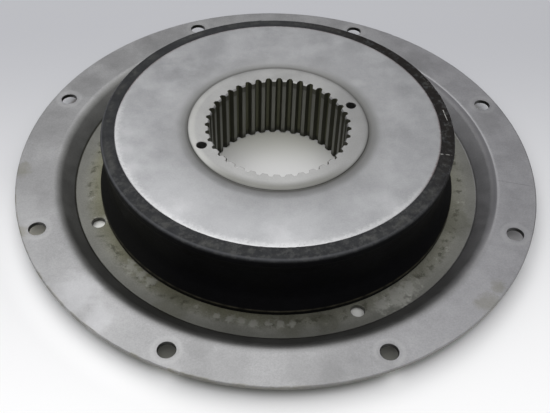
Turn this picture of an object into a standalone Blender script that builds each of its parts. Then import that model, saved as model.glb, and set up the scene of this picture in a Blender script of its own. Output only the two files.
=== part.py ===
"""Rubber drive coupling for a flywheel.

A dished steel plate bolts to the flywheel, a steel disc with a splined hub sits on the driven
shaft, and a thick rubber ring is bonded between the two, so that it takes up shocks and twist.
The three pieces are turned about the Z axis. Metres, +Z up. The origin is the centre of the plane
that the coupling rests on, which is the lower end of the hub's barrel.
"""

import math

import bmesh
import bpy
from mathutils import Matrix, Vector

MM = 0.001

# The clearance between two pieces that are bonded face to face, and how round the pieces are.
BOND_GAP = 0.3 * MM
ROUND_SEGMENTS = 96
HOLE_SEGMENTS = 24
ARC_TOLERANCE = 0.2 * MM
LONGEST_ARC_SHARE = 0.96
CUTTER_MARGIN = 4.0 * MM

# Flange plate: one sheet, dished so that its middle is sunk below the bolted rim.
PLATE_RADIUS = 233.35 * MM
PLATE_THICKNESS = 4.0 * MM
PLATE_EDGE_BREAK = 0.6 * MM
DISH_DEPTH = 13.5 * MM
DISH_SLOPE = math.radians(45.0)
DISH_SHOULDER_RADIUS = 15.0 * MM
DISH_FOOT_RADIUS = 1.5 * MM
RIM_WIDTH = 37.2 * MM
LAND_ABOVE_BARREL_END = 1.55 * MM
BOLT_COUNT = 8
BOLT_HOLE_RADIUS = 7.15 * MM
BOLT_EDGE_DISTANCE = 14.275 * MM
LAND_HOLE_COUNT = 4
LAND_HOLE_RADIUS = 5.7 * MM
LAND_HOLE_EDGE_DISTANCE = 14.65 * MM
FIRST_HOLE_ANGLE = math.radians(22.5)

# Rubber ring: its foot on the sunken land, its waist, and the lip round the disc's rim.
FOOT_INSET = 22.45 * MM
FOOT_WIDTH = 48.2 * MM
FOOT_THICKNESS = 3.8 * MM
FOOT_EDGE_RADIUS = 1.3 * MM
FOOT_SPREAD = 6.6 * MM
LIP_WIDTH = 11.7 * MM
LIP_HEIGHT = 9.0 * MM
LIP_FALL = 0.8 * MM
LIP_EDGE_RADIUS = 2.5 * MM
LIP_BELOW_DISC = 0.3 * MM
WAIST_DEPTH = 3.4 * MM
WAIST_ABOVE_FOOT = 17.0 * MM
WAIST_BELOW_LIP = 11.0 * MM
WAIST_BLEND = 20.0 * MM
RUBBER_DEPTH = 51.4 * MM
RUBBER_WIDTH = 47.6 * MM
INNER_WAIST_DEPTH = 3.5 * MM
INNER_FOOT_INSET = 3.0 * MM

# Hub: the disc that the rubber holds, and the splined barrel in its middle.
DISC_RIM_THICKNESS = 10.5 * MM
DISC_RIM_BREAK = 1.0 * MM
DISC_WEB_THICKNESS = 10.9 * MM
BOSS_BELOW_RIM = 2.75 * MM
BOSS_STAND = 0.9 * MM
BOSS_OUTSET = 1.5 * MM
BOSS_CROWN_WIDTH = 3.0 * MM
BOSS_CROWN_FALL = 0.15 * MM
BOSS_CROWN_BLEND = 50.0 * MM
BOSS_EDGE_RADIUS = 0.3 * MM
BOSS_FOOT_RADIUS = 0.4 * MM
VALLEY_WIDTH = 9.0 * MM
VALLEY_RISE = 0.9 * MM
VALLEY_BLEND = 60.0 * MM
BARREL_FILLET = 4.0 * MM
BARREL_FOOT_BREAK = 1.5 * MM
BARREL_WALL = 13.44 * MM

# Spline: 30 degree involute teeth, cut through the barrel, not timed to the holes.
SPLINE_TEETH = 39
SPLINE_MODULE = 3.175 * MM
SPLINE_PRESSURE_ANGLE = math.radians(30.0)
SPLINE_ROOT_CLEARANCE = 0.175
SPLINE_ROOT_CORNER = 0.2 * MM
SPLINE_ROOT_FLAT_SHARE = 0.55
SPLINE_END_CHAMFER = 1.2 * MM
SPLINE_FIRST_SPACE = math.radians(88.65)
SPLINE_FLANK_STEPS = 3

# Two blind holes in the hub's face, for the screws that draw the hub off its shaft.
PULLER_HOLE_RADIUS = 4.4 * MM
PULLER_HOLE_DEPTH = 22.0 * MM
PULLER_HOLE_COUNT = 2
DRILL_POINT_ANGLE = math.radians(118.0)

# Places that follow from the sizes above.
dish_foot_radius = PLATE_RADIUS - RIM_WIDTH - DISH_DEPTH / math.tan(DISH_SLOPE)
land_top = LAND_ABOVE_BARREL_END + PLATE_THICKNESS
rim_under = LAND_ABOVE_BARREL_END + DISH_DEPTH
rim_top = rim_under + PLATE_THICKNESS
rubber_foot_radius = dish_foot_radius - FOOT_INSET
inner_foot_radius = rubber_foot_radius - FOOT_WIDTH
plate_opening_radius = inner_foot_radius - INNER_FOOT_INSET
lip_radius = rubber_foot_radius - FOOT_SPREAD
inner_top_radius = lip_radius - RUBBER_WIDTH
rubber_rim_radius = lip_radius - LIP_WIDTH
disc_radius = rubber_rim_radius - BOND_GAP
disc_under = land_top + RUBBER_DEPTH
disc_top = disc_under + DISC_RIM_THICKNESS
boss_top = disc_top - BOSS_BELOW_RIM
valley_bottom = boss_top - BOSS_STAND
web_under = valley_bottom - DISC_WEB_THICKNESS
spline_pitch_radius = SPLINE_MODULE * SPLINE_TEETH / 2
spline_tip_radius = spline_pitch_radius - SPLINE_MODULE / 2
spline_root_radius = spline_pitch_radius + SPLINE_MODULE * (0.5 + SPLINE_ROOT_CLEARANCE)
barrel_radius = spline_root_radius + BARREL_WALL
boss_radius = barrel_radius + BOSS_OUTSET


def clear_scene():
    """Remove what the scene holds, so that the model starts from nothing."""
    for scene_object in list(bpy.data.objects):
        bpy.data.objects.remove(scene_object, do_unlink=True)


def make_material(name, colour, roughness, metallic):
    """Return a Principled material with one colour."""
    material = bpy.data.materials.new(name)
    material.use_nodes = True
    shader = material.node_tree.nodes["Principled BSDF"]
    shader.inputs["Base Color"].default_value = (*colour, 1.0)
    shader.inputs["Roughness"].default_value = roughness
    shader.inputs["Metallic"].default_value = metallic
    material.diffuse_color = (*colour, 1.0)
    return material


def shade_round(mesh):
    """Shade a mesh smooth where its faces meet at a shallow angle."""
    mesh.shade_smooth()
    mesh.set_sharp_from_angle(angle=math.radians(30.0))


def make_object(name, bm, material=None):
    """Turn a bmesh into an object with its faces pointing outwards."""
    bmesh.ops.recalc_face_normals(bm, faces=bm.faces)
    mesh = bpy.data.meshes.new(name)
    bm.to_mesh(mesh)
    bm.free()
    shade_round(mesh)
    if material:
        mesh.materials.append(material)
    new_object = bpy.data.objects.new(name, mesh)
    bpy.context.scene.collection.objects.link(new_object)
    return new_object


def make_cutter(name, bm):
    """Turn a bmesh into a cutter, which is seen as wires and never rendered."""
    cutter = make_object(name, bm)
    cutter.hide_render = True
    cutter.display_type = "WIRE"
    return cutter


def cut_with(blank, cutters):
    """Take the cutters' shapes out of the blank, and keep the edges that the cuts make sharp."""
    for cutter in cutters:
        modifier = blank.modifiers.new(cutter.name, "BOOLEAN")
        modifier.operation = "DIFFERENCE"
        modifier.solver = "EXACT"
        modifier.object = cutter
    cut_shape = blank.evaluated_get(bpy.context.evaluated_depsgraph_get())
    blank.data = bpy.data.meshes.new_from_object(cut_shape)
    blank.modifiers.clear()
    shade_round(blank.data)


def rounded_outline(corners):
    """Return the points of a closed outline, given as (radius, height, fillet) corners.

    A corner with a fillet becomes an arc with as many chords as keep it within the tolerance. Two
    arcs that meet on one edge share it in proportion to their fillets, so they never overlap.
    """
    points = []
    for index, (radius, height, fillet) in enumerate(corners):
        corner = Vector((radius, height))
        if fillet <= 0.0:
            points.append(corner)
            continue
        neighbours = (corners[index - 1], corners[(index + 1) % len(corners)])
        before, after = (Vector(neighbour[:2]) - corner for neighbour in neighbours)
        half_angle = before.angle(after) / 2
        reach = fillet / math.tan(half_angle)
        for edge, neighbour in zip((before, after), neighbours):
            share = LONGEST_ARC_SHARE * fillet / (fillet + neighbour[2])
            reach = min(reach, share * edge.length)
        arc_radius = reach * math.tan(half_angle)
        inwards = (before.normalized() + after.normalized()).normalized()
        centre = corner + inwards * arc_radius / math.sin(half_angle)
        start = corner + before.normalized() * reach - centre
        end = corner + after.normalized() * reach - centre
        sweep = start.angle_signed(end)
        widest_step = 2 * math.acos(1 - min(ARC_TOLERANCE / arc_radius, 0.5))
        steps = math.ceil(abs(sweep) / widest_step)
        for step in range(steps + 1):
            turn = Matrix.Rotation(-sweep * step / steps, 2)
            points.append(centre + turn @ start)
    return points


def turn_outline(points):
    """Spin a closed outline once round the Z axis and return the ring as a bmesh."""
    bm = bmesh.new()
    corners = [bm.verts.new((point.x, 0.0, point.y)) for point in points]
    edges = [bm.edges.new((corners[index - 1], corner)) for index, corner in enumerate(corners)]
    bmesh.ops.spin(
        bm,
        geom=corners + edges,
        axis=(0.0, 0.0, 1.0),
        cent=(0.0, 0.0, 0.0),
        angle=2 * math.pi,
        steps=ROUND_SEGMENTS,
        use_merge=True,
    )
    return bm


def add_round_bar(bm, radius, low, high, place=Matrix(), segments=HOLE_SEGMENTS, top_radius=None):
    """Add an upright cylinder or cone from one height to another and return its vertices."""
    upper_radius = radius if top_radius is None else top_radius
    middle = Matrix.Translation((0.0, 0.0, (low + high) / 2))
    return bmesh.ops.create_cone(
        bm,
        cap_ends=True,
        segments=segments,
        radius1=radius,
        radius2=upper_radius,
        depth=high - low,
        matrix=place @ middle,
    )["verts"]


def hole_places(count, circle_radius):
    """Return the places of holes evenly spaced on a circle."""
    places = []
    for index in range(count):
        angle = FIRST_HOLE_ANGLE + index * 2 * math.pi / count
        place = Matrix.Rotation(angle, 4, "Z") @ Matrix.Translation((circle_radius, 0.0, 0.0))
        places.append(place)
    return places


def make_flange_plate(material):
    """The dished plate: one thickness all over, with bolt holes in its rim and in its land."""
    # The two faces of the sheet lie one thickness apart, so the lower bends are shifted inwards
    # or outwards by what the slope's thickness takes up along the radius.
    slope_shift = PLATE_THICKNESS * math.tan(DISH_SLOPE / 2)
    shoulder_radius = dish_foot_radius + DISH_DEPTH / math.tan(DISH_SLOPE)
    inner_bend = max(DISH_SHOULDER_RADIUS - PLATE_THICKNESS, DISH_FOOT_RADIUS)
    outline = rounded_outline([
        (plate_opening_radius, LAND_ABOVE_BARREL_END, PLATE_EDGE_BREAK),
        (dish_foot_radius + slope_shift, LAND_ABOVE_BARREL_END, DISH_FOOT_RADIUS + PLATE_THICKNESS),
        (shoulder_radius + slope_shift, rim_under, inner_bend),
        (PLATE_RADIUS, rim_under, PLATE_EDGE_BREAK),
        (PLATE_RADIUS, rim_top, PLATE_EDGE_BREAK),
        (shoulder_radius, rim_top, DISH_SHOULDER_RADIUS),
        (dish_foot_radius, land_top, DISH_FOOT_RADIUS),
        (plate_opening_radius, land_top, PLATE_EDGE_BREAK),
    ])
    plate = make_object("flange_plate", turn_outline(outline), material)

    holes = bmesh.new()
    for place in hole_places(BOLT_COUNT, PLATE_RADIUS - BOLT_EDGE_DISTANCE):
        low = rim_under - CUTTER_MARGIN
        add_round_bar(holes, BOLT_HOLE_RADIUS, low, rim_top + CUTTER_MARGIN, place)
    for place in hole_places(LAND_HOLE_COUNT, dish_foot_radius - LAND_HOLE_EDGE_DISTANCE):
        low = LAND_ABOVE_BARREL_END - CUTTER_MARGIN
        add_round_bar(holes, LAND_HOLE_RADIUS, low, land_top + CUTTER_MARGIN, place)
    cut_with(plate, [make_cutter("plate_hole_cutter", holes)])
    return plate


def disc_under_height(radius):
    """The height of the disc's underside, which slopes up from the barrel to the rim."""
    share = (radius - barrel_radius) / (disc_radius - barrel_radius)
    return web_under + (disc_under - web_under) * share


def make_rubber_ring(material):
    """The rubber between the sunken land and the disc, with free walls that are waisted."""
    foot = land_top + BOND_GAP
    ring_top = disc_top - LIP_BELOW_DISC
    outer_waist = lip_radius - WAIST_DEPTH
    inner_waist = max(inner_top_radius, inner_foot_radius) + INNER_WAIST_DEPTH
    inner_top = disc_under_height(inner_top_radius) - BOND_GAP
    lip_bottom = ring_top - LIP_HEIGHT
    outline = rounded_outline([
        (inner_foot_radius, foot, 0.0),
        (rubber_foot_radius, foot, 0.0),
        (rubber_foot_radius, foot + FOOT_THICKNESS, FOOT_EDGE_RADIUS),
        (outer_waist, foot + WAIST_ABOVE_FOOT, WAIST_BLEND),
        (outer_waist, lip_bottom - WAIST_BELOW_LIP, WAIST_BLEND),
        (lip_radius, lip_bottom, LIP_HEIGHT / 2),
        (lip_radius, ring_top - LIP_FALL, LIP_EDGE_RADIUS),
        (rubber_rim_radius, ring_top, 0.0),
        (rubber_rim_radius, disc_under - BOND_GAP, DISC_RIM_BREAK + BOND_GAP),
        (inner_top_radius, inner_top, 0.0),
        (inner_waist, (foot + inner_top) / 2, WAIST_BLEND),
    ])
    return make_object("rubber_ring", turn_outline(outline), material)


def involute(angle):
    """The involute function of a pressure angle."""
    return math.tan(angle) - angle


def spline_outline():
    """Return the points round the splined bore, space after space.

    A space of an internal spline has the form of an outer tooth, so it narrows towards its root.
    """
    base_radius = spline_pitch_radius * math.cos(SPLINE_PRESSURE_ANGLE)
    half_space_at_pitch = math.pi / (2 * SPLINE_TEETH)
    flank = []
    for step in range(SPLINE_FLANK_STEPS + 1):
        share = step / SPLINE_FLANK_STEPS
        radius = spline_tip_radius + (spline_root_radius - spline_tip_radius) * share
        angle_there = math.acos(base_radius / radius)
        half_space = half_space_at_pitch + involute(SPLINE_PRESSURE_ANGLE) - involute(angle_there)
        flank.append((radius, half_space))
    # The root corner is rounded: the last flank point gives way to one below it and one beside it.
    root_radius, root_half_space = flank.pop()
    flank.append((root_radius - SPLINE_ROOT_CORNER, root_half_space))
    flank.append((root_radius, SPLINE_ROOT_FLAT_SHARE * root_half_space))
    space = [(radius, -half) for radius, half in flank]
    space += [(radius, half) for radius, half in reversed(flank)]

    points = []
    for tooth in range(SPLINE_TEETH):
        middle = SPLINE_FIRST_SPACE + tooth * 2 * math.pi / SPLINE_TEETH
        for radius, offset in space:
            angle = middle + offset
            points.append(Vector((radius * math.cos(angle), radius * math.sin(angle))))
    return points


def make_spline_cutter():
    """The broach: a prism with the form of the splined bore, longer than the barrel."""
    low = -CUTTER_MARGIN
    high = boss_top + CUTTER_MARGIN
    bm = bmesh.new()
    face = bm.faces.new([bm.verts.new((point.x, point.y, low)) for point in spline_outline()])
    raised = bmesh.ops.extrude_face_region(bm, geom=[face])["geom"]
    raised_corners = [item for item in raised if isinstance(item, bmesh.types.BMVert)]
    bmesh.ops.translate(bm, verts=raised_corners, vec=(0.0, 0.0, high - low))
    return make_cutter("spline_cutter", bm)


def make_chamfer_cutter():
    """The two cones that take the ends off the spline's teeth."""
    mouth_radius = spline_tip_radius + SPLINE_END_CHAMFER + CUTTER_MARGIN
    throat_radius = spline_tip_radius - CUTTER_MARGIN
    reach = SPLINE_END_CHAMFER + CUTTER_MARGIN
    bm = bmesh.new()
    for end, outwards in ((0.0, -1), (boss_top, 1)):
        heights = (end + outwards * CUTTER_MARGIN, end - outwards * reach)
        radii = (mouth_radius, throat_radius)
        if outwards > 0:
            heights = heights[::-1]
            radii = radii[::-1]
        add_round_bar(bm, radii[0], *heights, segments=ROUND_SEGMENTS, top_radius=radii[1])
    return make_cutter("spline_chamfer_cutter", bm)


def make_puller_hole_cutter():
    """The two drilled holes in the middle of the barrel's wall, each with its drill's cone."""
    floor = boss_top - PULLER_HOLE_DEPTH
    point_depth = PULLER_HOLE_RADIUS / math.tan(DRILL_POINT_ANGLE / 2)
    bm = bmesh.new()
    for place in hole_places(PULLER_HOLE_COUNT, spline_root_radius + BARREL_WALL / 2):
        high = boss_top + CUTTER_MARGIN
        bar = add_round_bar(bm, PULLER_HOLE_RADIUS, floor, high, place)
        floor_faces = {
            face for corner in bar for face in corner.link_faces
            if len(face.verts) == HOLE_SEGMENTS and face.calc_center_median().z < boss_top
        }
        tip = bmesh.ops.poke(bm, faces=list(floor_faces))["verts"]
        bmesh.ops.translate(bm, verts=tip, vec=(0.0, 0.0, -point_depth))
    return make_cutter("puller_hole_cutter", bm)


def make_splined_hub(material):
    """The disc and its barrel, one forging, turned all over and then broached and drilled."""
    rough_bore = spline_tip_radius / 2
    outline = rounded_outline([
        (rough_bore, 0.0, 0.0),
        (barrel_radius, 0.0, BARREL_FOOT_BREAK),
        (barrel_radius, web_under, BARREL_FILLET),
        (disc_radius, disc_under, DISC_RIM_BREAK),
        (disc_radius, disc_top, DISC_RIM_BREAK),
        (boss_radius + VALLEY_WIDTH, valley_bottom + VALLEY_RISE, VALLEY_BLEND),
        (boss_radius, valley_bottom, BOSS_FOOT_RADIUS),
        (boss_radius, boss_top - BOSS_CROWN_FALL, BOSS_EDGE_RADIUS),
        (boss_radius - BOSS_CROWN_WIDTH, boss_top, BOSS_CROWN_BLEND),
        (rough_bore, boss_top, 0.0),
    ])
    hub = make_object("splined_hub", turn_outline(outline), material)
    cut_with(hub, [make_spline_cutter(), make_chamfer_cutter(), make_puller_hole_cutter()])
    return hub


clear_scene()
pieces = [
    make_flange_plate(make_material("blasted_plate_steel", (0.33, 0.33, 0.31), 0.55, 0.6)),
    make_rubber_ring(make_material("black_rubber", (0.022, 0.023, 0.024), 0.6, 0.0)),
    make_splined_hub(make_material("blasted_hub_steel", (0.42, 0.42, 0.41), 0.5, 0.6)),
]
axis_empty = bpy.data.objects.new("coupling_axis", None)
bpy.context.scene.collection.objects.link(axis_empty)
for piece in pieces:
    piece.parent = axis_empty
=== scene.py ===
"""Rubber drive coupling: the finish of its three bonded pieces, on a pale studio floor.

Metres, +Z up. The coupling's axis is the Z axis, and it rests on the plane z = 0.
"""

import math

import bmesh
import bpy
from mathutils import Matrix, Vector, noise


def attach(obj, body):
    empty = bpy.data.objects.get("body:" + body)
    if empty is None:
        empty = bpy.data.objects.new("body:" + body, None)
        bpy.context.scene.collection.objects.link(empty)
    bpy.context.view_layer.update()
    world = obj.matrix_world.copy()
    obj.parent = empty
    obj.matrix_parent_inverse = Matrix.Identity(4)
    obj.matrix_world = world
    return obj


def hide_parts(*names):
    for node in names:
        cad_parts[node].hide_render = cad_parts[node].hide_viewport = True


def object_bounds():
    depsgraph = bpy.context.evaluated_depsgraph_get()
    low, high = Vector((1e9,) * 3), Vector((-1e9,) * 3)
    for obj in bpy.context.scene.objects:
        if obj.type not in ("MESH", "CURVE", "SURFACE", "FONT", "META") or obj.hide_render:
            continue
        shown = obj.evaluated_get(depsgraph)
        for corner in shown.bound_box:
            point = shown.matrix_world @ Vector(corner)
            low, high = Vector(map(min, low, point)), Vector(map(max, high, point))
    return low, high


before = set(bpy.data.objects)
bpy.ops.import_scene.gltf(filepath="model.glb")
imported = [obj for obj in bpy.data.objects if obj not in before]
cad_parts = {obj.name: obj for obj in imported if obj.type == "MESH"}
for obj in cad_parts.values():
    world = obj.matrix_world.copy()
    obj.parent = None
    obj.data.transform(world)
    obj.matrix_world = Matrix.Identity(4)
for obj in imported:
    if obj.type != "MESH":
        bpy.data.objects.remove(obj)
cad_low, cad_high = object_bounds()
MM = 0.001

# Camera
# It stands about as far in front of the coupling as it stands above the floor, so that it looks
# down on the disc at 45 degrees and sees the far wall of the splined bore.
CAMERA_PLACE = (-0.01539, -0.55104, 0.55948)
CAMERA_TURN = (42.526, -1.237, -0.200)
CAMERA_LENS = 55.256
CAMERA_SENSOR = 36.0
camera_data = bpy.data.cameras.new("camera")
camera_data.lens = CAMERA_LENS
camera_data.sensor_width = CAMERA_SENSOR
camera = bpy.data.objects.new("camera", camera_data)
camera.location = CAMERA_PLACE
camera.rotation_euler = [math.radians(turn) for turn in CAMERA_TURN]
bpy.context.scene.collection.objects.link(camera)
bpy.context.scene.camera = camera
bpy.context.scene.view_settings.view_transform = "Standard"


# Flange plate
# One round sheet of hot-rolled steel, pressed so that its middle is sunk below the bolted rim,
# then trimmed, drilled and blasted. Eight screws hold its rim to the flywheel.
PLATE_RADIUS = cad_high.x
PLATE_THICKNESS = 4.0 * MM
LAND_UNDER = 1.55 * MM
DISH_DEPTH = 13.5 * MM
DISH_SLOPE = math.radians(45.0)
DISH_FOOT_RADIUS = 182.65 * MM
DISH_FOOT_FILLET = 1.5 * MM
SHOULDER_FILLET = 12.0 * MM
SHOULDER_WAVE = 0.45 * MM
SHOULDER_WAVE_REACH = 9.0 * MM
PLATE_OPENING_RADIUS = 109.0 * MM
PLATE_EDGE_BREAK = 0.6 * MM
PLATE_EDGE_NICKS = 0.12 * MM
PLATE_STEPS = 384
FILLET_STEPS = 8
BOLT_HOLES = {"count": 8, "circle": 219.075 * MM, "radius": 7.15 * MM}
LAND_HOLES = {"count": 4, "circle": 168.0 * MM, "radius": 5.7 * MM}
HOLE_CHAMFER = 0.35 * MM
HOLE_STEPS = 48
CUT_MARGIN = 3.0 * MM
SHARP_ANGLE = math.radians(35.0)
LEVEL_SLOPE = 0.99999
FIRST_HOLE_ANGLE = math.radians(22.5)
# Dents in the rim's upper edge: the angle and the half width in degrees, and the depth.
EDGE_DENTS = [(232.0, 0.9, 0.9 * MM), (245.6, 0.5, 0.5 * MM), (301.0, 0.7, 0.5 * MM),
              (214.5, 0.6, 0.4 * MM), (338.0, 0.8, 0.4 * MM), (57.0, 0.8, 0.5 * MM)]
# Groups of ragged marks. Places and sizes are in millimetres, and so is the patch, which is how
# wide the raggedness is. The core is the part of the size that has the full tone.
# The rim has pale rubbed steel on its left, dark patches all round that are partly dull smudges and
# partly painted shade, and olive oil stains.
RIM_MARKS = [
    {"colour": (0.56, 0.56, 0.58), "share": 0.30, "patch": 18, "ragged": 0.8, "core": 0.35,
     "places": [(-160, -150, 26), (-140, -176, 16), (-205, 85, 16)]},
    {"colour": (0.14, 0.14, 0.14), "share": 0.22, "patch": 30, "ragged": 0.8, "core": 0.35,
     "places": [(-216, 45, 40), (-212, -25, 34), (-197, -52, 18), (-45, -219, 30), (32, -221, 38),
                (-160, 146, 26)]},
    {"colour": (0.15, 0.15, 0.15), "share": 0.25, "patch": 16, "ragged": 0.8, "core": 0.35,
     "places": [(38, -221, 16), (80, -208, 12), (140, 150, 30), (205, 60, 22), (-60, -200, 15),
                (-110, 175, 40), (-190, 105, 26)]},
    {"colour": (0.16, 0.15, 0.095), "share": 0.35, "patch": 9, "ragged": 0.8, "core": 0.35,
     "places": [(-229, -14, 12), (-216, -88, 9), (166, -156, 13), (178, -140, 9)]},
]
# The land has dark oil, and old sealant in rough pale patches.
LAND_MARKS = [
    {"colour": (0.07, 0.069, 0.048), "share": 0.4, "patch": 12, "ragged": 0.9, "core": 0.35,
     "places": [(10, -172, 16), (-85, -155, 18), (40, -166, 14), (154, -56, 22)]},
    {"colour": (0.40, 0.40, 0.37), "share": 0.48, "patch": 4, "ragged": 1.2, "core": 0.35,
     "places": [(97, -141, 14), (108, -132, 11), (84, -149, 9), (-48, -162, 4), (-38, -165, 5),
                (-28, -166, 4), (-19, -168, 5), (-7, -169, 4), (2, -169, 4), (11, -169, 4),
                (-150, -62, 7), (-122, -112, 8), (-112, -120, 7), (-104, -128, 6)]},
]
# Scratches, in millimetres: where each one starts and ends, and its width.
PLATE_SCRATCHES = [
    ((189, -2, 18.4), (190, -16, 18.4), 0.7), ((193, -8, 18.8), (193, -17, 18.8), 0.5),
    ((168, -88, 10), (160, -103, 10), 0.7), ((163, -101, 11), (158, -109, 11), 0.5),
]
RIM_HAIRLINE = [((199, -20, 19.05), (229, -27, 19.05), 0.7)]


def rounded_section(corners):
    """Return a bmesh with the section of a turned piece, from (radius, height, fillet) corners."""
    bm = bmesh.new()
    points = [bm.verts.new((radius, 0.0, height)) for radius, height, fillet in corners]
    bm.faces.new(points)
    places = [point.co.copy() for point in points]
    for index, (radius, height, fillet) in enumerate(corners):
        if fillet:
            before = places[index - 1] - places[index]
            after = places[(index + 1) % len(places)] - places[index]
            reach = fillet / math.tan(before.angle(after) / 2)
            bmesh.ops.bevel(bm, geom=[points[index]], offset=reach, segments=FILLET_STEPS,
                            profile=0.5, affect="VERTICES", material=-1)
    return bm


def turned(corners, steps):
    """Spin a rounded section once round the Z axis."""
    bm = rounded_section(corners)
    bmesh.ops.delete(bm, geom=bm.faces[:], context="FACES_ONLY")
    bmesh.ops.spin(bm, geom=bm.verts[:] + bm.edges[:], axis=(0, 0, 1), cent=(0, 0, 0),
                   angle=2 * math.pi, steps=steps, use_merge=True)
    bmesh.ops.remove_doubles(bm, verts=bm.verts[:], dist=1e-6)
    bmesh.ops.recalc_face_normals(bm, faces=bm.faces[:])
    return bm


def wander(angle, waves, seed):
    """Return a smooth number from about -1 to 1 that runs round the piece without a seam."""
    place = Vector((waves * math.cos(angle), waves * math.sin(angle), seed))
    return noise.noise(place, noise_basis="PERLIN_ORIGINAL")


def reshape(bm, rule):
    """Move each corner outwards and upwards by what the rule says for its place."""
    for corner in bm.verts:
        radius = corner.co.xy.length
        angle = math.atan2(corner.co.y, corner.co.x) % (2 * math.pi)
        outwards, upwards = rule(radius, angle, corner.co.z)
        if radius > 0:
            corner.co.xy *= (radius + outwards) / radius
        corner.co.z += upwards


def near(value, target, reach):
    """Return 1 at the target, falling to 0 at the given distance from it."""
    return max(0.0, 1.0 - abs(value - target) / reach)


def finished(name, bm):
    """Turn a bmesh into an object, smooth except where its faces meet at a steep angle."""
    mesh = bpy.data.meshes.new(name)
    bm.to_mesh(mesh)
    bm.free()
    mesh.shade_smooth()
    mesh.set_sharp_from_angle(angle=SHARP_ANGLE)
    piece = bpy.data.objects.new(name, mesh)
    bpy.context.scene.collection.objects.link(piece)
    return piece


def cut(piece, *cutters):
    """Take the cutters' shapes out of a piece for good. Its level faces are shaded flat."""
    for cutter in cutters:
        boolean = piece.modifiers.new("cut", "BOOLEAN")
        boolean.object = cutter
        boolean.solver = "EXACT"
    whole = piece.evaluated_get(bpy.context.evaluated_depsgraph_get())
    piece.data = bpy.data.meshes.new_from_object(whole)
    piece.modifiers.clear()
    piece.data.shade_smooth()
    piece.data.set_sharp_from_angle(angle=SHARP_ANGLE)
    for face in piece.data.polygons:
        face.use_smooth = abs(face.normal.z) < LEVEL_SLOPE
    for cutter in cutters:
        bpy.data.objects.remove(cutter)


def drill(radius, low, high, chamfer):
    """Return a bmesh of a drill's path from low to high, with a countersink at each mouth."""
    mouth = radius + chamfer + CUT_MARGIN
    bottom = low - CUT_MARGIN
    top = high + CUT_MARGIN
    return turned([(0, bottom, 0), (mouth, bottom, 0), (radius, low + chamfer, 0),
                   (radius, high - chamfer, 0), (mouth, top, 0), (0, top, 0)], HOLE_STEPS)


def hole_pattern(holes, low, high):
    """Return a cutter for evenly spaced holes on a circle."""
    bm = bmesh.new()
    for index in range(holes["count"]):
        angle = FIRST_HOLE_ANGLE + index * 2 * math.pi / holes["count"]
        place = Vector((math.cos(angle), math.sin(angle), 0)) * holes["circle"]
        bit = drill(holes["radius"], low, high, HOLE_CHAMFER)
        bmesh.ops.translate(bit, verts=bit.verts[:], vec=place)
        one_hole = bpy.data.meshes.new("hole")
        bit.to_mesh(one_hole)
        bit.free()
        bm.from_mesh(one_hole)
        bpy.data.meshes.remove(one_hole)
    return finished("hole_cutter", bm)


land_top = LAND_UNDER + PLATE_THICKNESS
rim_under = LAND_UNDER + DISH_DEPTH
rim_top = rim_under + PLATE_THICKNESS
shoulder_radius = DISH_FOOT_RADIUS + DISH_DEPTH / math.tan(DISH_SLOPE)
lower_shift = PLATE_THICKNESS * math.tan(DISH_SLOPE / 2)


def plate_wear(radius, angle, height):
    """The shoulder isn't quite round, and the rim's upper edge is nicked."""
    at_shoulder = near(radius, shoulder_radius, SHOULDER_WAVE_REACH)
    waves = wander(angle, waves=9.0, seed=1.0) + wander(angle, waves=30.0, seed=2.0) / 2
    outwards = SHOULDER_WAVE * at_shoulder * waves
    at_edge = near(radius, PLATE_RADIUS, 1.5 * MM) * near(height, rim_top, 2.5 * MM)
    for middle, half_width, depth in EDGE_DENTS:
        outwards -= at_edge * depth * near(math.degrees(angle), middle, half_width)
    outwards -= at_edge * PLATE_EDGE_NICKS * (1 + wander(angle, waves=60.0, seed=3.0))
    return outwards, 0.0


plate_bmesh = turned([
    (PLATE_OPENING_RADIUS, LAND_UNDER, PLATE_EDGE_BREAK),
    (DISH_FOOT_RADIUS + lower_shift, LAND_UNDER, DISH_FOOT_FILLET + PLATE_THICKNESS),
    (shoulder_radius + lower_shift, rim_under, SHOULDER_FILLET - PLATE_THICKNESS),
    (PLATE_RADIUS, rim_under, PLATE_EDGE_BREAK),
    (PLATE_RADIUS, rim_top, PLATE_EDGE_BREAK),
    (shoulder_radius, rim_top, SHOULDER_FILLET),
    (DISH_FOOT_RADIUS, land_top, DISH_FOOT_FILLET),
    (PLATE_OPENING_RADIUS, land_top, PLATE_EDGE_BREAK),
], PLATE_STEPS)
reshape(plate_bmesh, plate_wear)
flange_plate = finished("flange_plate_steel", plate_bmesh)
cut(flange_plate, hole_pattern(BOLT_HOLES, rim_under, rim_top),
    hole_pattern(LAND_HOLES, LAND_UNDER, land_top))


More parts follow.
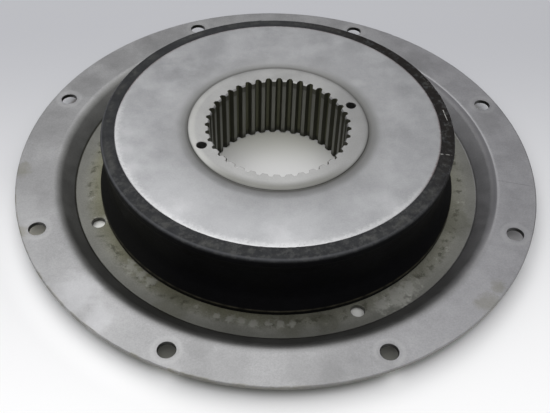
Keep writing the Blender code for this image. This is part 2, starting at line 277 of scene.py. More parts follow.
class Signal:
    """The output of a material's node, which can be used in Python sums."""

    def __init__(self, tree, socket):
        self.tree = tree
        self.socket = socket

    def node(self, kind, settings=None, inputs=None, output=0):
        """Make a node, with its settings first and then the values or links of its sockets."""
        made = self.tree.nodes.new(kind)
        for name, value in (settings or {}).items():
            setattr(made, name, value)
        for name, value in (inputs or {}).items():
            if isinstance(value, Signal):
                self.tree.links.new(value.socket, made.inputs[name])
            else:
                made.inputs[name].default_value = value
        return Signal(self.tree, made.outputs[output])

    def into(self, shader, name):
        """Link this signal to a socket of the shader."""
        self.tree.links.new(self.socket, shader.inputs[name])

    def sum_of(self, operation, *values):
        return self.node("ShaderNodeMath", {"operation": operation}, dict(enumerate(values)))

    def vector(self, operation, other, output=0):
        """Work on two vectors. Output 1 is the one that gives a number."""
        inputs = {0: self, 1: other}
        return self.node("ShaderNodeVectorMath", {"operation": operation}, inputs, output)

    def __add__(self, other):
        return self.sum_of("ADD", self, other)

    def __sub__(self, other):
        return self.sum_of("SUBTRACT", self, other)

    def __rsub__(self, other):
        return self.sum_of("SUBTRACT", other, self)

    def __mul__(self, other):
        return self.sum_of("MULTIPLY", self, other)

    def __truediv__(self, other):
        return self.sum_of("DIVIDE", self, other)

    def __pow__(self, other):
        return self.sum_of("POWER", self, other)

    __radd__ = __add__
    __rmul__ = __mul__


def ramp(value, start, end):
    """Rise smoothly from 0 at the start to 1 at the end, which may be the smaller of the two."""
    return value.node("ShaderNodeMapRange", {"interpolation_type": "SMOOTHSTEP"},
                      {"Value": value, "From Min": start, "From Max": end})


def band(value, middle, half_width):
    """Return 1 in the middle of a band, falling smoothly to 0 at its two sides."""
    away = value - middle
    return ramp(away.sum_of("ABSOLUTE", away), half_width, 0.0)


def cloud(point, size, detail=3.0, roughness=0.5, offset=(0.0, 0.0, 0.0)):
    """Noise from about 0.2 to 0.8, whose patches are as wide as the size says."""
    moved = point.node("ShaderNodeMapping", {"vector_type": "POINT"},
                       {"Vector": point, "Location": offset})
    return point.node("ShaderNodeTexNoise", {},
                      {"Vector": moved, "Scale": 1 / size, "Detail": detail, "Roughness": roughness})


def mixed(share, first, second):
    """Mix two colours, with the second one where the share is 1."""
    def colour(value):
        return value if isinstance(value, Signal) else (*value, 1.0)
    return share.node("ShaderNodeMix", {"data_type": "RGBA"},
                      {0: share, 6: colour(first), 7: colour(second)}, output=2)


def layered(colour, layers):
    """Lay colours over a colour, one after another, from each one's share and the colour itself."""
    for share, layer_colour in layers:
        colour = mixed(share, colour, layer_colour)
    return colour


def marked(colour, point, height, groups):
    """Lay groups of ragged marks over a colour, on the face at the given height."""
    for group in groups:
        for x_mark, y_mark, size in group["places"]:
            reach = size * MM
            away = point.vector("DISTANCE", (x_mark * MM, y_mark * MM, height), output=1)
            edge = (cloud(point, group["patch"] * MM, 5.0, 0.6) - 0.5) * (2 * group["ragged"] * reach)
            mark = ramp(away + edge, reach, reach * group["core"])
            colour = mixed(mark * group["share"], colour, group["colour"])
    return colour


def streak(point, start, end, width):
    """A scratch or thread between two places, given in millimetres, as is its width."""
    start, end = (Vector(place) * MM for place in (start, end))
    length = (end - start).length
    direction = (end - start) / length
    offset = point.vector("SUBTRACT", start)
    along = offset.vector("DOT_PRODUCT", direction, output=1)
    held = along.node("ShaderNodeClamp", {}, {"Value": along, "Min": 0.0, "Max": length})
    foot = held.node("ShaderNodeVectorMath", {"operation": "SCALE"}, {0: direction, "Scale": held})
    away = offset.vector("DISTANCE", foot, output=1)
    wobble = (cloud(point, 2.5 * MM) - 0.5) * (2 * width * MM)
    return ramp(away + wobble, width * MM, width * 0.4 * MM)


def scratched(colour, point, scratches, share, scratch_colour):
    """Lay scratches or threads of one colour over a colour."""
    return layered(colour, [(streak(point, *place) * share, scratch_colour) for place in scratches])


def hole_distance(radius, x, y, holes):
    """The distance from the middle of the nearest hole of a pattern."""
    angle = y.sum_of("ARCTAN2", y, x) - FIRST_HOLE_ANGLE
    half_step = math.pi / holes["count"]
    beside = angle.sum_of("WRAP", angle, half_step, -half_step)
    across = radius * beside.sum_of("SINE", beside)
    along = radius * beside.sum_of("COSINE", beside) - holes["circle"]
    return (across * across + along * along) ** 0.5


def new_finish(name):
    """Return a new material, its shader, its place signal and its radius, x, y and z signals."""
    material = bpy.data.materials.new(name)
    material.use_nodes = True
    tree = material.node_tree
    shader = tree.nodes["Principled BSDF"]
    point = Signal(tree, tree.nodes.new("ShaderNodeTexCoord").outputs["Object"])
    parts = tree.nodes.new("ShaderNodeSeparateXYZ")
    tree.links.new(point.socket, parts.inputs[0])
    x, y, z = (Signal(tree, parts.outputs[axis]) for axis in "XYZ")
    radius = (x * x + y * y) ** 0.5
    return material, shader, point, radius, x, y, z


def add_bump(shader, height, depth, strength):
    """Raise the surface where the height signal is 1, by the depth in metres."""
    inputs = {"Height": height, "Distance": depth, "Strength": strength}
    height.node("ShaderNodeBump", {}, inputs).into(shader, "Normal")


def uneven(point, size, detail=6.0):
    """Soft-edged patches that reach all the way from -0.5 to 0.5."""
    return ramp(cloud(point, size, detail, 0.6), 0.33, 0.67) - 0.5


def plate_steel():
    """Blasted steel: grey on the rim, olive and blotched on the land, with painted shade in the crease.
    """
    material, shader, point, radius, x, y, z = new_finish("plate_steel")
    smudges = uneven(point, 55 * MM, 3.0)
    mottle = uneven(point, 13 * MM)
    grain = cloud(point, 1.3 * MM, 2.0, 0.6)
    tone = 0.5 + smudges * 0.22 + mottle * 0.16 + (grain - 0.5) * 0.6
    steel = mixed(tone, (0.21, 0.21, 0.212), (0.43, 0.43, 0.434))
    olive = mixed(tone, (0.10, 0.10, 0.085), (0.29, 0.29, 0.262))
    stained = mixed(tone, (0.09, 0.088, 0.050), (0.28, 0.276, 0.185))

    # The sunken land, the slope up to the rim, and the crease between them.
    land = ramp(radius, DISH_FOOT_RADIUS + 0.55 * MM, DISH_FOOT_RADIUS - 1.05 * MM)
    off_land = 1 - land
    # The land turns darker grey towards the crease: partly its grey tone, partly painted shade.
    land_edge = ramp(radius, 170 * MM, 180 * MM) * land
    slope = ramp(radius, 204 * MM, 195.5 * MM) * off_land
    # The crease's band, where its shade is painted.
    crease = band(radius, DISH_FOOT_RADIUS + 0.35 * MM, 1.4 * MM)
    by_rubber = ramp(radius + (cloud(point, 14 * MM) - 0.5) * (8 * MM), 176 * MM, 161 * MM)
    blotch_belt = band(radius, LAND_HOLES["circle"], 9 * MM)
    blotches = ramp(cloud(point, 9 * MM, 6.0, 0.7, (0.3, 0.1, 0.0)), 0.52, 0.64) * blotch_belt
    residue = ramp(cloud(point, 11 * MM, 6.0, 0.7, (0.1, 0.5, 0.2)), 0.57, 0.66) * blotch_belt
    # The holes, and the rings that the screws' washers have worn round the bolt holes.
    bolt_hole = hole_distance(radius, x, y, BOLT_HOLES)
    land_hole = hole_distance(radius, x, y, LAND_HOLES)
    washer_mark = band(bolt_hole, 11 * MM, 3 * MM)
    # The walls of the holes are painted dark, as their shade.
    bolt_wall = ramp(bolt_hole, BOLT_HOLES["radius"] + 0.45 * MM, BOLT_HOLES["radius"] + 0.05 * MM)
    land_wall = ramp(land_hole, LAND_HOLES["radius"] + 0.4 * MM, LAND_HOLES["radius"] + 0.1 * MM)
    # The slope is olive and painted darker as shade on the left, and painted near black as shade in
    # front. Behind, the shoulder is painted darker as shade, with a painted highlight line along its
    # outer edge.
    left_slope = ramp(radius, 200 * MM, 193 * MM) * off_land * ramp(x, -20 * MM, -150 * MM)
    front_slope = ramp(radius, 206 * MM, 196.5 * MM) * off_land * ramp(y, -60 * MM, -180 * MM)
    # Painted shade on the land in front, darkening towards the crease.
    front_land = ramp(radius, 172 * MM, 182 * MM) * land * ramp(y, -70 * MM, -165 * MM)
    far_side = ramp(x + y, 40 * MM, 160 * MM)
    shoulder = ramp(radius, 199.6 * MM, 198.2 * MM) * ramp(radius, 192 * MM, 197.5 * MM)
    painted_highlight_line = band(radius, 199.5 * MM, 0.9 * MM) * far_side * ramp(y, -30 * MM, 50 * MM)
    # The rim's outer edge is painted dark behind, as its shade, and stained olive in front.
    from_edge = PLATE_RADIUS - radius
    dark_edge = ramp(from_edge, 1.35 * MM, 0.35 * MM) * ramp(x + y, 60 * MM, 200 * MM)
    olive_edge = ramp(from_edge, 1.75 * MM, 0.55 * MM) * ramp(x + y, -120 * MM, -280 * MM)
    below_edge = ramp(z, rim_top - 0.55 * MM, rim_top - 1.45 * MM)
    side_wall = ramp(from_edge, 0.55 * MM, 0.15 * MM) * below_edge

    colour = layered(mixed(land, steel, olive), [
        (by_rubber * (0.3 + ramp(x, 60 * MM, -60 * MM) * 0.4), stained),
        (blotches * 0.7, (0.045, 0.044, 0.03)),
        (residue * 0.5, (0.38, 0.375, 0.34)),
        (land_edge * 0.35, (0.125, 0.125, 0.122)),
        # Painted shade: the slope is darkened a little all round.
        (slope * 0.2, (0.19, 0.19, 0.175)),
        # Painted reflection: a lilac tint on the right of the rim and slope, for the cool light mirrored
        # there.
        (ramp(x, 0.0, 190 * MM) * off_land * 0.14, (0.30, 0.288, 0.35)),
        (washer_mark * 0.25, (0.46, 0.46, 0.46)),
        # Painted shade in the crease at the foot of the slope, strongest on the left and in front.
        (crease * (0.4 + ramp(x, 130 * MM, -20 * MM) * 0.45), (0.03, 0.028, 0.02)),
        # Painted shade on the slope, olive on the left and near black in front.
        (left_slope * 0.32, (0.085, 0.086, 0.058)),
        (front_slope * 0.72, (0.06, 0.06, 0.054)),
        # Painted shade on the shoulder behind, and a painted highlight line along its edge.
        (shoulder * far_side * 0.75, (0.08, 0.078, 0.084)),
        (painted_highlight_line * 0.28, (0.58, 0.58, 0.60)),
        (front_land * 0.45, (0.055, 0.055, 0.046)),
        (dark_edge * 0.65, (0.05, 0.05, 0.052)),
        (olive_edge * ramp(mottle, -0.2, 0.4) * 0.5, (0.17, 0.16, 0.11)),
        (side_wall * 0.5, (0.10, 0.095, 0.065)),
    ])
    colour = marked(colour, point, rim_top, RIM_MARKS)
    colour = scratched(colour, point, PLATE_SCRATCHES, 0.6, (0.55, 0.55, 0.55))
    colour = scratched(colour, point, RIM_HAIRLINE, 0.35, (0.16, 0.155, 0.17))
    colour = marked(colour, point, land_top, LAND_MARKS)
    colour = mixed((bolt_wall + land_wall) * 0.8, colour, (0.05, 0.05, 0.045))
    colour.into(shader, "Base Color")

    rough = 0.43 + mottle * 0.06 + slope * 0.12 + land * 0.05
    rough.into(shader, "Roughness")
    metal = 1.0 - land * 0.12 - residue * 0.3
    metal.into(shader, "Metallic")
    add_bump(shader, grain * 0.5 + mottle * 0.25 + blotches * 0.6, 0.12 * MM, 0.4)
    return material


flange_plate.data.materials.clear()
flange_plate.data.materials.append(plate_steel())
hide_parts("flange_plate")
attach(flange_plate, "root")


# Rubber ring
# One thick ring of black rubber, moulded between the two steels and bonded to both. Its lip wraps
# the disc's rim, where the mould's flash was trimmed by hand.
RUBBER_FOOT_RADIUS = 160.2 * MM
RUBBER_FOOT_TOP = 9.65 * MM
FOOT_EDGE_RADIUS = 1.0 * MM
LIP_RADIUS = 153.6 * MM
LIP_BOTTOM = 58.15 * MM
LIP_TOP = 67.15 * MM
LIP_FALL = 0.8 * MM
LIP_EDGE_RADIUS = 2.6 * MM
LIP_UNDER_BLEND = 4.0 * MM
WAIST_RADIUS = 150.2 * MM
WAIST_BOTTOM = 22.85 * MM
WAIST_TOP = 47.15 * MM
WAIST_BLEND = 20.0 * MM
RUBBER_RIM_RADIUS = 141.9 * MM
RUBBER_RIM_EDGE = 0.4 * MM
RUBBER_RIM_BOTTOM = 56.9 * MM
RUBBER_RIM_BLEND = 1.0 * MM
FLASH_WIDTH = 1.3 * MM
FLASH_HEIGHT = 0.25 * MM
INNER_TOP_RADIUS = 106.0 * MM
INNER_TOP = 54.4 * MM
INNER_FOOT_RADIUS = 112.0 * MM
INNER_WAIST_RADIUS = 115.5 * MM
RUBBER_STEPS = 512
LIP_WAVE = 0.25 * MM
LIP_RIPPLE = 0.12 * MM
# A nib that the mould left on the lip, and a bulge beside it. Angles are in degrees.
MOULD_NIB = {"angle": 96.5, "half_width": 0.9, "stand": 1.6 * MM}
LIP_BULGE = {"angle": 101.0, "half_width": 5.0, "stand": 0.7 * MM}
# Painted glints of the shiny trimming cuts on the far side of the lip, and a pale thread caught across
# it. Like the scratches, each has a start, an end and a width, in millimetres.
LIP_GLINTS_AND_THREAD = [
    ((135.9, 68.5, 67), (140.0, 55.0, 67), 0.45), ((134.4, 65.0, 67), (137.0, 59.0, 67), 0.35),
    ((147.0, 20.0, 66.8), (148.8, 6.5, 66.8), 0.45), ((129.0, 76.0, 67), (132.0, 72.0, 67), 0.4),
    ((133.0, -36.7, 67.4), (141.5, -37.2, 67.4), 0.6), ((141.5, -37.2, 67), (149.5, -37.9, 66.8), 0.5),
]
rubber_foot = land_top + 0.05 * MM


def rubber_wear(radius, angle, height):
    """The trimmed flash at the disc's rim is ragged, and the lip and the walls aren't quite true."""
    flash = near(radius, RUBBER_RIM_RADIUS, 2.5 * MM) * near(height, LIP_TOP, 1.0 * MM)
    ragged = 0.5 + 0.5 * wander(angle, waves=40.0, seed=5.0) + 0.35 * wander(angle, waves=160.0, seed=6.0)
    outwards = -flash * FLASH_WIDTH * max(0.0, ragged)
    upwards = flash * FLASH_HEIGHT * max(0.0, wander(angle, waves=70.0, seed=7.0))
    at_lip = near(radius, LIP_RADIUS, 6.0 * MM) * near(height, (LIP_BOTTOM + LIP_TOP) / 2, 9 * MM)
    waves = wander(angle, waves=14.0, seed=8.0) + 0.5 * wander(angle, waves=60.0, seed=9.0)
    outwards += at_lip * LIP_WAVE * waves
    for swelling in (MOULD_NIB, LIP_BULGE):
        share = near(math.degrees(angle), swelling["angle"], swelling["half_width"])
        outwards += at_lip * swelling["stand"] * share
    ripple = LIP_RIPPLE * wander(angle, waves=45.0, seed=10.0)
    upwards += near(height, LIP_TOP, 1.5 * MM) * ripple
    return outwards, upwards


rubber_bmesh = turned([
    (INNER_FOOT_RADIUS, rubber_foot, 0.0),
    (RUBBER_FOOT_RADIUS, rubber_foot, 0.0),
    (RUBBER_FOOT_RADIUS, RUBBER_FOOT_TOP, FOOT_EDGE_RADIUS),
    (WAIST_RADIUS, WAIST_BOTTOM, WAIST_BLEND),
    (WAIST_RADIUS, WAIST_TOP, WAIST_BLEND),
    (LIP_RADIUS, LIP_BOTTOM, LIP_UNDER_BLEND),
    (LIP_RADIUS, LIP_TOP - LIP_FALL, LIP_EDGE_RADIUS),
    (RUBBER_RIM_RADIUS, LIP_TOP, RUBBER_RIM_EDGE),
    (RUBBER_RIM_RADIUS, RUBBER_RIM_BOTTOM, RUBBER_RIM_BLEND),
    (INNER_TOP_RADIUS, INNER_TOP, 0.0),
    (INNER_WAIST_RADIUS, (rubber_foot + INNER_TOP) / 2, WAIST_BLEND),
], RUBBER_STEPS)
reshape(rubber_bmesh, rubber_wear)
rubber_ring = finished("rubber_ring_moulded", rubber_bmesh)


def black_rubber():
    """Near black on its moulded walls, which are painted darker still as shade, greyer and scuffed on the
    trimmed lip.
    """
    material, shader, point, radius, x, y, z = new_finish("rubber")
    shader.inputs["Specular IOR Level"].default_value = 0.05
    mottle = cloud(point, 9 * MM, 5.0, 0.6)
    grain = cloud(point, 1.1 * MM, 3.0, 0.6)
    lip = ramp(z, 62 * MM, 66 * MM)
    lip_middle = band(radius, 148 * MM, 5.5 * MM) * lip
    # A painted highlight along the lip's rounded outer edge, strongest in front.
    lip_edge_highlight = band(radius, LIP_RADIUS - 1.0 * MM, 1.3 * MM) * lip
    foot_side = band(radius, RUBBER_FOOT_RADIUS - 0.3 * MM, 0.8 * MM)
    # The foot's top edge: dust and a painted highlight.
    foot_edge_dust_and_highlight = foot_side * band(z, RUBBER_FOOT_TOP - 0.05 * MM, 1.2 * MM)
    dusty = ramp(cloud(point, 16 * MM, 6.0, 0.68, (0.2, 0.0, 0.4)), 0.44, 0.66)
    scuffs = ramp(cloud(point, 7 * MM, 7.0, 0.75, (0.1, 0.1, 0.5)), 0.47, 0.60) * lip
    torn = ramp(cloud(point, 5 * MM, 6.0, 0.7, (0.4, 0.2, 0.1)), 0.36, 0.50)
    specks = ramp(cloud(point, 2.2 * MM, 4.0, 0.7, (0.0, 0.3, 0.2)), 0.68, 0.74) * lip
    near_side = ramp(y - x * 0.3, 60 * MM, -60 * MM)
    brown_side = ramp(x + y * 0.4, 60 * MM, 150 * MM) * lip
    # A painted sheen on the left of the wall.
    left_wall_sheen = ramp(x, -60 * MM, -150 * MM) * (1 - lip)

    # The walls' colour is painted darker than the rubber itself, as the shade of the undercut wall.
    moulded = mixed(mottle, (0.0012, 0.0012, 0.0013), (0.004, 0.004, 0.005))
    trimmed = mixed(mottle, (0.014, 0.014, 0.016), (0.050, 0.052, 0.054))
    colour = layered(mixed(lip, moulded, trimmed), [
        (lip_middle * dusty * 0.45, (0.10, 0.10, 0.092)),
        (lip_edge_highlight * (0.2 + ramp(x + y, 0.0, -120 * MM) * 0.35), (0.11, 0.113, 0.122)),
        (scuffs * near_side * 0.32, (0.12, 0.12, 0.116)),
        (brown_side * torn * 0.9, (0.012, 0.010, 0.009)),
        (left_wall_sheen * 0.9, (0.009, 0.009, 0.0085)),
        (specks * 0.5, (0.20, 0.19, 0.17)),
        (foot_edge_dust_and_highlight * ramp(mottle, 0.2, 0.8) * 0.6, (0.12, 0.11, 0.075)),
    ])
    colour = scratched(colour, point, LIP_GLINTS_AND_THREAD, 0.8, (0.42, 0.42, 0.40))
    colour.into(shader, "Base Color")
    rough = 0.48 + lip * 0.12 + (grain - 0.5) * 0.2
    rough.into(shader, "Roughness")
    add_bump(shader, grain * 0.5 + mottle, 0.25 * MM, 0.5)
    return material


rubber_ring.data.materials.append(black_rubber())
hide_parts("rubber_ring")
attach(rubber_ring, "root")


# Splined hub
# One steel forging, turned all over: a disc that the rubber holds by its rim, and a barrel whose
# bore is broached with 39 involute teeth. Two blind holes in its face take the puller's screws.
DISC_RADIUS = 141.75 * MM
DISC_UNDER = 56.95 * MM
DISC_TOP = 67.45 * MM
DISC_RIM_BREAK = 1.0 * MM
DISC_UNDER_BREAK = 1.0 * MM
WEB_UNDER = 52.9 * MM
BARREL_RADIUS = 77.5 * MM
BARREL_BOTTOM = 0.0
BARREL_END_BREAK = 1.5 * MM
BARREL_FILLET = 4.0 * MM
BOSS_TOP = 64.7 * MM
BOSS_RADIUS = 79.0 * MM
BOSS_CROWN_WIDTH = 3.0 * MM
BOSS_CROWN_FALL = 0.15 * MM
BOSS_CROWN_BLEND = 50.0 * MM
BOSS_EDGE_FILLET = 0.4 * MM
BOSS_FOOT_FILLET = 0.6 * MM
VALLEY_BOTTOM = 63.8 * MM
VALLEY_WIDTH = 9.0 * MM
VALLEY_RISE = 0.9 * MM
VALLEY_BLEND = 60.0 * MM
HUB_STEPS = 384
SPLINE_TEETH = 39
SPLINE_MODULE = 3.175 * MM
PRESSURE_ANGLE = math.radians(30.0)
SPLINE_FIRST_SPACE = math.radians(88.65)
SPLINE_ROOT_DEPTH = 0.675 * SPLINE_MODULE
SPLINE_END_CHAMFER = 1.2 * MM
FLANK_STEPS = 6
BROACHED_AWAY = 10.0 * MM
BROACH_OVERRUN = 4.0 * MM
PULLER_HOLES = {"count": 2, "circle": 70.78 * MM, "radius": 4.4 * MM}
PULLER_HOLE_DEPTH = 22.0 * MM
# The disc is wiped pale in places, most of them by its left edge, and the pale patches in front are
# partly a painted reflection. The dark patches are partly dull steel and partly painted shade.
DISC_MARKS = [
    {"colour": (0.68, 0.68, 0.69), "share": 0.28, "patch": 16, "ragged": 0.9, "core": -0.3,
     "places": [(-132, -14, 16), (-130, -34, 14), (-121, -57, 15), (-80, -104, 20), (0, -132, 30),
                (56, 122, 12), (72, 58, 10), (92, -96, 18)]},
    {"colour": (0.13, 0.132, 0.135), "share": 0.24, "patch": 18, "ragged": 0.8, "core": -0.3,
     "places": [(-104, -20, 28.6), (-99, 58, 44.2), (108, -7, 19.5), (75, -71, 26), (-70, 95, 46.8),
                (40, 94, 20.8), (-20, 90, 28.6), (112, 45, 18.2), (-100, -45, 15.6),
                (-114, 22, 28.6), (-82, 64, 33.8), (-5, 112, 31.2)]},
]
pitch_radius = SPLINE_MODULE * SPLINE_TEETH / 2
tip_radius = pitch_radius - SPLINE_MODULE / 2
root_radius = pitch_radius + SPLINE_ROOT_DEPTH


def involute(angle):
    return math.tan(angle) - angle


def spline_broach(low, high):
    """The broach's form: one space turned round the axis 39 times, and drawn from low to high."""
    base_radius = pitch_radius * math.cos(PRESSURE_ANGLE)
    half_space = math.pi / (2 * SPLINE_TEETH) + involute(PRESSURE_ANGLE)
    flank = []
    for step in range(FLANK_STEPS + 1):
        radius = tip_radius + (root_radius - tip_radius) * step / FLANK_STEPS
        flank.append((radius, half_space - involute(math.acos(base_radius / radius))))
    bm = bmesh.new()
    outline = []
    for tooth in range(SPLINE_TEETH):
        middle = SPLINE_FIRST_SPACE + tooth * 2 * math.pi / SPLINE_TEETH
        sides = [(radius, middle - half) for radius, half in flank]
        sides += [(radius, middle + half) for radius, half in reversed(flank)]
        outline += [bm.verts.new((r * math.cos(a), r * math.sin(a), low)) for r, a in sides]
    face = bm.faces.new(outline)
    drawn = bmesh.ops.extrude_face_region(bm, geom=[face])["geom"]
    top = [part for part in drawn if isinstance(part, bmesh.types.BMVert)]
    bmesh.ops.translate(bm, verts=top, vec=(0, 0, high - low))
    bmesh.ops.recalc_face_normals(bm, faces=bm.faces[:])
    return finished("broach", bm)


def end_chamfer():
    """The tool that takes the corners off both ends of the teeth."""
    mouth = tip_radius + SPLINE_END_CHAMFER + CUT_MARGIN
    throat = tip_radius - CUT_MARGIN
    low = BARREL_BOTTOM - CUT_MARGIN
    high = BOSS_TOP + CUT_MARGIN
    reach = SPLINE_END_CHAMFER + CUT_MARGIN
    return finished("chamfer_tool", turned([
        (0, low, 0), (mouth, low, 0), (throat, BARREL_BOTTOM + reach, 0),
        (throat, BOSS_TOP - reach, 0), (mouth, high, 0), (0, high, 0),
    ], HUB_STEPS))


rough_bore = tip_radius - BROACHED_AWAY
splined_hub = finished("splined_hub_forging", turned([
    (rough_bore, BARREL_BOTTOM, 0.0),
    (BARREL_RADIUS, BARREL_BOTTOM, BARREL_END_BREAK),
    (BARREL_RADIUS, WEB_UNDER, BARREL_FILLET),
    (DISC_RADIUS, DISC_UNDER, DISC_UNDER_BREAK),
    (DISC_RADIUS, DISC_TOP, DISC_RIM_BREAK),
    (BOSS_RADIUS + VALLEY_WIDTH, VALLEY_BOTTOM + VALLEY_RISE, VALLEY_BLEND),
    (BOSS_RADIUS, VALLEY_BOTTOM, BOSS_FOOT_FILLET),
    (BOSS_RADIUS, BOSS_TOP - BOSS_CROWN_FALL, BOSS_EDGE_FILLET),
    (BOSS_RADIUS - BOSS_CROWN_WIDTH, BOSS_TOP, BOSS_CROWN_BLEND),
    (rough_bore, BOSS_TOP, 0.0),
], HUB_STEPS))
puller_low = BOSS_TOP - PULLER_HOLE_DEPTH
cut(splined_hub, spline_broach(BARREL_BOTTOM - BROACH_OVERRUN, BOSS_TOP + BROACH_OVERRUN),
    end_chamfer(), hole_pattern(PULLER_HOLES, puller_low, BOSS_TOP))


def hub_steel():
    """Blasted steel: pale and cloudy on the disc, warmer on the boss, oil-dark in the spline."""
    material, shader, point, radius, x, y, z = new_finish("hub_steel")
    smudges = uneven(point, 48 * MM, 3.0)
    mottle = uneven(point, 12 * MM)
    grain = cloud(point, 1.2 * MM, 2.0, 0.6)
    tone = 0.5 + smudges * 0.28 + mottle * 0.12 + (grain - 0.5) * 0.5
    disc = mixed(tone, (0.27, 0.273, 0.282), (0.48, 0.483, 0.492))
    warm = mixed(tone, (0.28, 0.28, 0.274), (0.46, 0.46, 0.454))

    # The boss round the bore, with its crown, and the hollow round it. Their light and shade are painted:
    # shade in the hollow and in the crease at the boss's edge, a highlight on the crown's left, and shade
    # on the crown's front and the boss's right.
    boss = ramp(radius, BOSS_RADIUS - 0.2 * MM, BOSS_RADIUS - 1.0 * MM)
    boss_crease_shade = band(radius, BOSS_RADIUS + 0.6 * MM, 3.0 * MM)
    # Painted shade in the hollow round the boss, darker again on the right.
    boss_shade = ramp(radius, 112 * MM, 84 * MM) * 0.22 + ramp(radius, 91 * MM, 80 * MM) * 0.5
    # A painted highlight on the crown's left, and painted shade on its front.
    left_crown_highlight = ramp(radius, 71.5 * MM, 74.5 * MM) * boss * ramp(x * 0.87 + y * 0.5, 0.0, -60 * MM)
    front_crown_shade = ramp(radius, 68.5 * MM, 76.5 * MM) * boss * ramp(y, -40 * MM, -70 * MM)
    right_hollow_shade = band(radius, 83 * MM, 9 * MM) * ramp(x, 10 * MM, 80 * MM)
    colour = marked(mixed(boss, disc, warm), point, DISC_TOP, DISC_MARKS)
    colour = layered(colour, [
        (boss_shade * (1 - boss), (0.12, 0.12, 0.112)),
        (left_crown_highlight * 0.25, (0.62, 0.62, 0.58)),
        # Painted shade on the right of the boss.
        (ramp(x, 30 * MM, 72 * MM) * boss * 0.25, (0.15, 0.15, 0.152)),
        (right_hollow_shade * 0.4, (0.14, 0.14, 0.135)),
        (front_crown_shade * 0.75, (0.13, 0.13, 0.115)),
        (boss_crease_shade * (0.5 + ramp(y, 0.0, -80 * MM) * 0.2), (0.07, 0.068, 0.06)),
    ])

    # Along the joint with the rubber the disc has a pale rough edge in front, a brown one behind.
    ragged = cloud(point, 4 * MM, 6.0, 0.75)
    joint = ramp(radius + (ragged - 0.5) * (16 * MM), 134.5 * MM, 141.5 * MM)
    pale_side = ramp(y + x * 0.4, -5 * MM, -60 * MM)
    pits = ramp(cloud(point, 1.8 * MM, 4.0, 0.7, (0.2, 0.2, 0.0)), 0.60, 0.68)
    brown_line = ramp(radius + (ragged - 0.5) * (4 * MM), 139.4 * MM, 141.4 * MM) * (1 - pale_side)
    colour = layered(colour, [
        (joint * pale_side * 0.4, (0.74, 0.74, 0.74)),
        (pits * ramp(radius, 130 * MM, 137 * MM) * pale_side * 0.45, (0.16, 0.16, 0.155)),
        (brown_line * 0.65, (0.14, 0.095, 0.09)),
    ])

    # The spline is dark with oil and paler on the tips of its teeth. Its lower end is painted darkest, as
    # the shade where the teeth meet the floor.
    below_chamfer = ramp(radius - z - tip_radius - SPLINE_END_CHAMFER + BOSS_TOP, 0.1 * MM, 0.5 * MM)
    below_face = ramp(z, BOSS_TOP - 0.05 * MM, BOSS_TOP - 0.3 * MM)
    in_spline = ramp(radius, 64.6 * MM, 64.2 * MM) * below_face * below_chamfer
    tooth_tip = ramp(radius, tip_radius + 0.475 * MM, tip_radius + 0.125 * MM)
    tooth_end = ramp(z + (cloud(point, 3 * MM) - 0.5) * (3 * MM), 57 * MM, 58.5 * MM)
    space_floor = ramp(radius, 63.5 * MM, 63.95 * MM)
    teeth = mixed(space_floor, (0.044, 0.044, 0.028), (0.085, 0.086, 0.05))
    teeth = layered(teeth, [
        (tooth_tip * (1 - tooth_end * 0.7), (0.165, 0.165, 0.145)),
        # Painted shade at the lower end of the teeth.
        (ramp(z, 8 * MM, 3 * MM) * 0.75, (0.02, 0.02, 0.014)),
    ])
    colour = mixed(in_spline, colour, teeth)
    colour.into(shader, "Base Color")

    rough = 0.42 + mottle * 0.08 + in_spline * 0.1
    rough.into(shader, "Roughness")
    metal = 1.0 - in_spline * 0.6
    metal.into(shader, "Metallic")
    add_bump(shader, grain * 0.5 + mottle * 0.25, 0.12 * MM, 0.4)
    return material


splined_hub.data.materials.clear()
splined_hub.data.materials.append(hub_steel())
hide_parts("splined_hub")
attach(splined_hub, "root")


# Floor, world and light
# A pale floor, painted grey at the back for the fall-off of the light and white in front, under a large
# soft light from above.
FLOOR_SIZE = 12.0
FLOOR_WHITE = (0.97, 0.97, 0.97)
FLOOR_GREY = (0.51, 0.515, 0.54)
IN_HOLE_REACH = 24.0 * MM
IN_HOLE_CORE = 16.8 * MM
# Painted light and shade on the floor seen through the holes: the place, in millimetres, and the tone for
# each.
FLOOR_LIGHT_AND_SHADE_IN_HOLES = [
    (-202, -66, (0.84, 0.82, 0.72)), (202, -66, (0.81, 0.80, 0.80)),
    (-202, 101, (0.34, 0.32, 0.305)), (202, 101, (0.82, 0.82, 0.77)),
    (-155, -58, (0.97, 0.97, 0.93)), (64, -149, (0.56, 0.56, 0.54)),
]
floor_bmesh = bmesh.new()
bmesh.ops.create_grid(floor_bmesh, x_segments=1, y_segments=1, size=FLOOR_SIZE / 2)
floor = finished("floor", floor_bmesh)
floor_material, floor_shader, point, radius, x, y, _ = new_finish("floor")
floor_colour = mixed(ramp(y, -0.34, 0.24), FLOOR_WHITE, FLOOR_GREY)
# Painted shadow on the floor under the rim.
floor_shadow_under_rim = ramp(radius, 190 * MM, 200 * MM) * ramp(radius, 232 * MM, 222 * MM)
floor_colour = mixed(floor_shadow_under_rim * 0.75, floor_colour, (0.22, 0.22, 0.17))
# The patch inside the bore is painted darker and more olive towards the back, as shade from the bore's
# far wall.
bore_floor_with_shade = mixed(ramp(y, 64 * MM, 4 * MM), (0.55, 0.55, 0.50), (0.76, 0.76, 0.755))
floor_colour = mixed(ramp(radius, 66 * MM, 60 * MM), floor_colour, bore_floor_with_shade)
under_plate = ramp(radius, 231 * MM, 226 * MM)
# Paint each hole's light or shade on the floor under the plate.
for x_hole, y_hole, tone in FLOOR_LIGHT_AND_SHADE_IN_HOLES:
    away = point.vector("DISTANCE", (x_hole * MM, y_hole * MM, 0.0), output=1)
    beneath = ramp(away, IN_HOLE_REACH, IN_HOLE_CORE)
    floor_colour = mixed(beneath * under_plate, floor_colour, tone)
floor_colour.into(floor_shader, "Base Color")
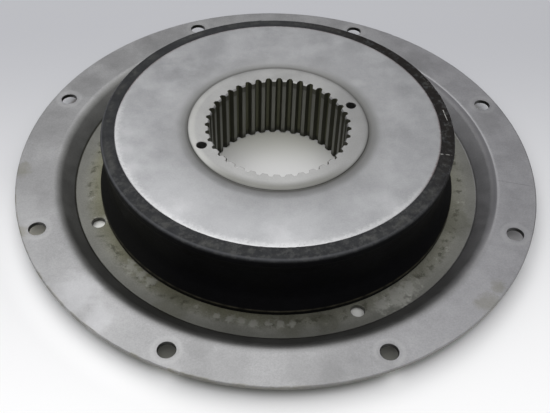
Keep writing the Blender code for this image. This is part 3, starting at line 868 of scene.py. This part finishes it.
# The floor in front is lit up a little by the white around it, most of all beside the left rim.
open_floor = ramp(radius, 225 * MM, 236 * MM)
left_front = ramp((x * -0.8 + y * -0.6) / radius, 0.78, 0.95) * band(radius, 243 * MM, 21 * MM)
glow = open_floor * (ramp(y, 0.24, -0.34) * 0.07 + left_front * 0.085)
mixed(glow, (0.0, 0.0, 0.0), (1.0, 1.0, 1.0)).into(floor_shader, "Emission Color")
floor_shader.inputs["Emission Strength"].default_value = 1.0
floor_shader.inputs["Roughness"].default_value = 0.9
floor_shader.inputs["Specular IOR Level"].default_value = 0.0
floor.data.materials.append(floor_material)

world = bpy.data.worlds.new("studio")
world.use_nodes = True
bpy.context.scene.world = world
sky_tree = world.node_tree
background = sky_tree.nodes["Background"]
direction = Signal(sky_tree, sky_tree.nodes.new("ShaderNodeTexCoord").outputs["Generated"])
up = direction.node("ShaderNodeSeparateXYZ", {}, {0: direction}, output=2)
backwards = direction.node("ShaderNodeSeparateXYZ", {}, {0: direction}, output=1)
horizon = mixed(ramp(backwards, -0.6, 0.5), (0.24, 0.24, 0.245), (0.30, 0.30, 0.31))
sky = mixed(ramp(up, 0.3, 1.0), horizon, (0.88, 0.88, 0.885))
seen = direction.node("ShaderNodeLightPath", {}, {}, output=0)
mixed(seen, sky, (0.85, 0.85, 0.86)).into(background, "Color")

# The back softbox is what the flat steel mirrors, and the top one lights the piece from above.
# A light's energy is four times its radiance for each square metre.
SOFTBOXES = [
    {"name": "back_softbox", "place": (-0.24, 0.84, 1.40), "size": (1.1, 0.7), "radiance": 1.02},
    {"name": "top_softbox", "place": (-0.2, -0.35, 1.70), "size": (2.2, 2.2), "radiance": 0.72},
]
for softbox in SOFTBOXES:
    lamp = bpy.data.lights.new(softbox["name"], "AREA")
    lamp.shape = "RECTANGLE"
    lamp.size, lamp.size_y = softbox["size"]
    lamp.energy = 4 * softbox["radiance"] * lamp.size * lamp.size_y
    stand = bpy.data.objects.new(softbox["name"], lamp)
    stand.location = softbox["place"]
    aim = -Vector(softbox["place"])
    stand.rotation_euler = aim.to_track_quat("-Z", "Y").to_euler()
    bpy.context.scene.collection.objects.link(stand)
